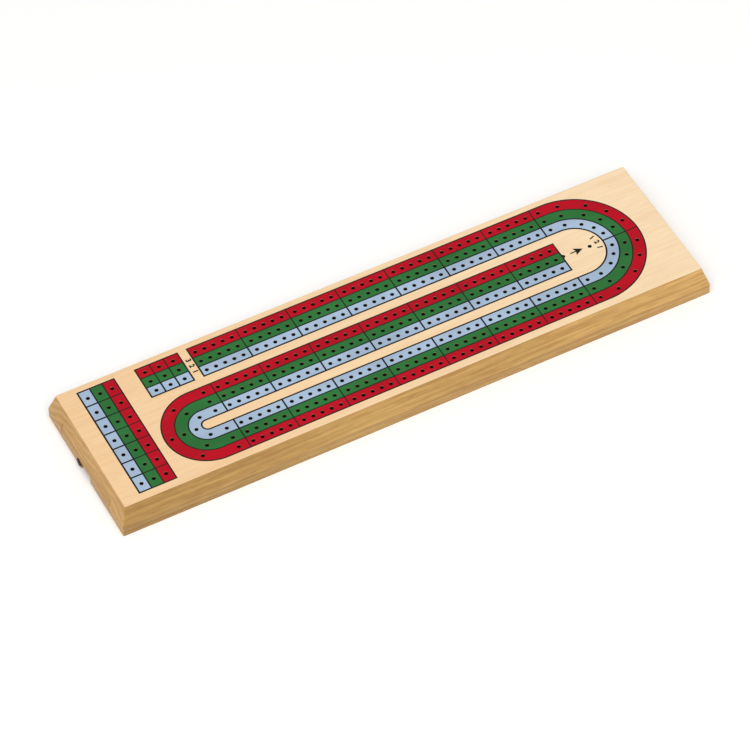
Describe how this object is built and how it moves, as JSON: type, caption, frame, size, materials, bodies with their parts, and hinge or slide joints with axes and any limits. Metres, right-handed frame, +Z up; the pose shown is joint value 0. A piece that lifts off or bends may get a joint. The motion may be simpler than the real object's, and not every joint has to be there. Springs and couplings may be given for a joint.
{
  "type": "cribbage box with drawer",
  "caption": "Long shallow wooden peg-scoring box: drilled top with three lanes of peg holes on a frame with sloped edges, and a drawer with peg compartments sliding from one end.",
  "frame": {"origin": "middle of the underside of the box, in the plane it rests on", "axes": "+X along the long side, away from the drawer; +Y towards the start cells' side; +Z up through the drilled top"},
  "size_m": [0.3672, 0.097, 0.0191],
  "materials": {
    "maple_top": "pale maple, satin lacquer, printed lanes in three colours",
    "maple_frame": "golden maple, satin lacquer",
    "birch_inner": "planed birch, unfinished",
    "birch_ply": "thin birch plywood, sanded",
    "screw_steel": "zinc-plated countersunk slotted screws",
    "dark_red_paint": "dark red enamel",
    "blue_plastic": "moulded, glossy",
    "green_plastic": "moulded, glossy",
    "red_plastic": "moulded, glossy"
  },
  "bodies": {
    "board": {"top_board": "maple_top", "front_rail": "maple_frame", "back_rail": "maple_frame", "end_block": "maple_frame", "stop_rib": "birch_inner", "middle_rib": "birch_inner", "stop_strip": "birch_inner", "bottom_panel": "birch_ply", "panel_screws": "screw_steel"},
    "drawer": {"drawer_front": "maple_frame", "pull_pin": "dark_red_paint", "drawer_bottom": "birch_ply", "drawer_side_front": "birch_inner", "drawer_side_back": "birch_inner", "drawer_back": "birch_inner", "drawer_divider_1": "birch_inner", "drawer_divider_2": "birch_inner", "blue_peg_1": "blue_plastic", "blue_peg_2": "blue_plastic", "blue_peg_3": "blue_plastic", "green_peg_1": "green_plastic", "green_peg_2": "green_plastic", "green_peg_3": "green_plastic", "red_peg_1": "red_plastic", "red_peg_2": "red_plastic", "red_peg_3": "red_plastic"}
  },
  "joints": [
    {"name": "drawer_slide", "type": "slide", "parent": "board", "child": "drawer", "axis": [-1, 0, 0], "range_m": [0, 0.12]}
  ]
}
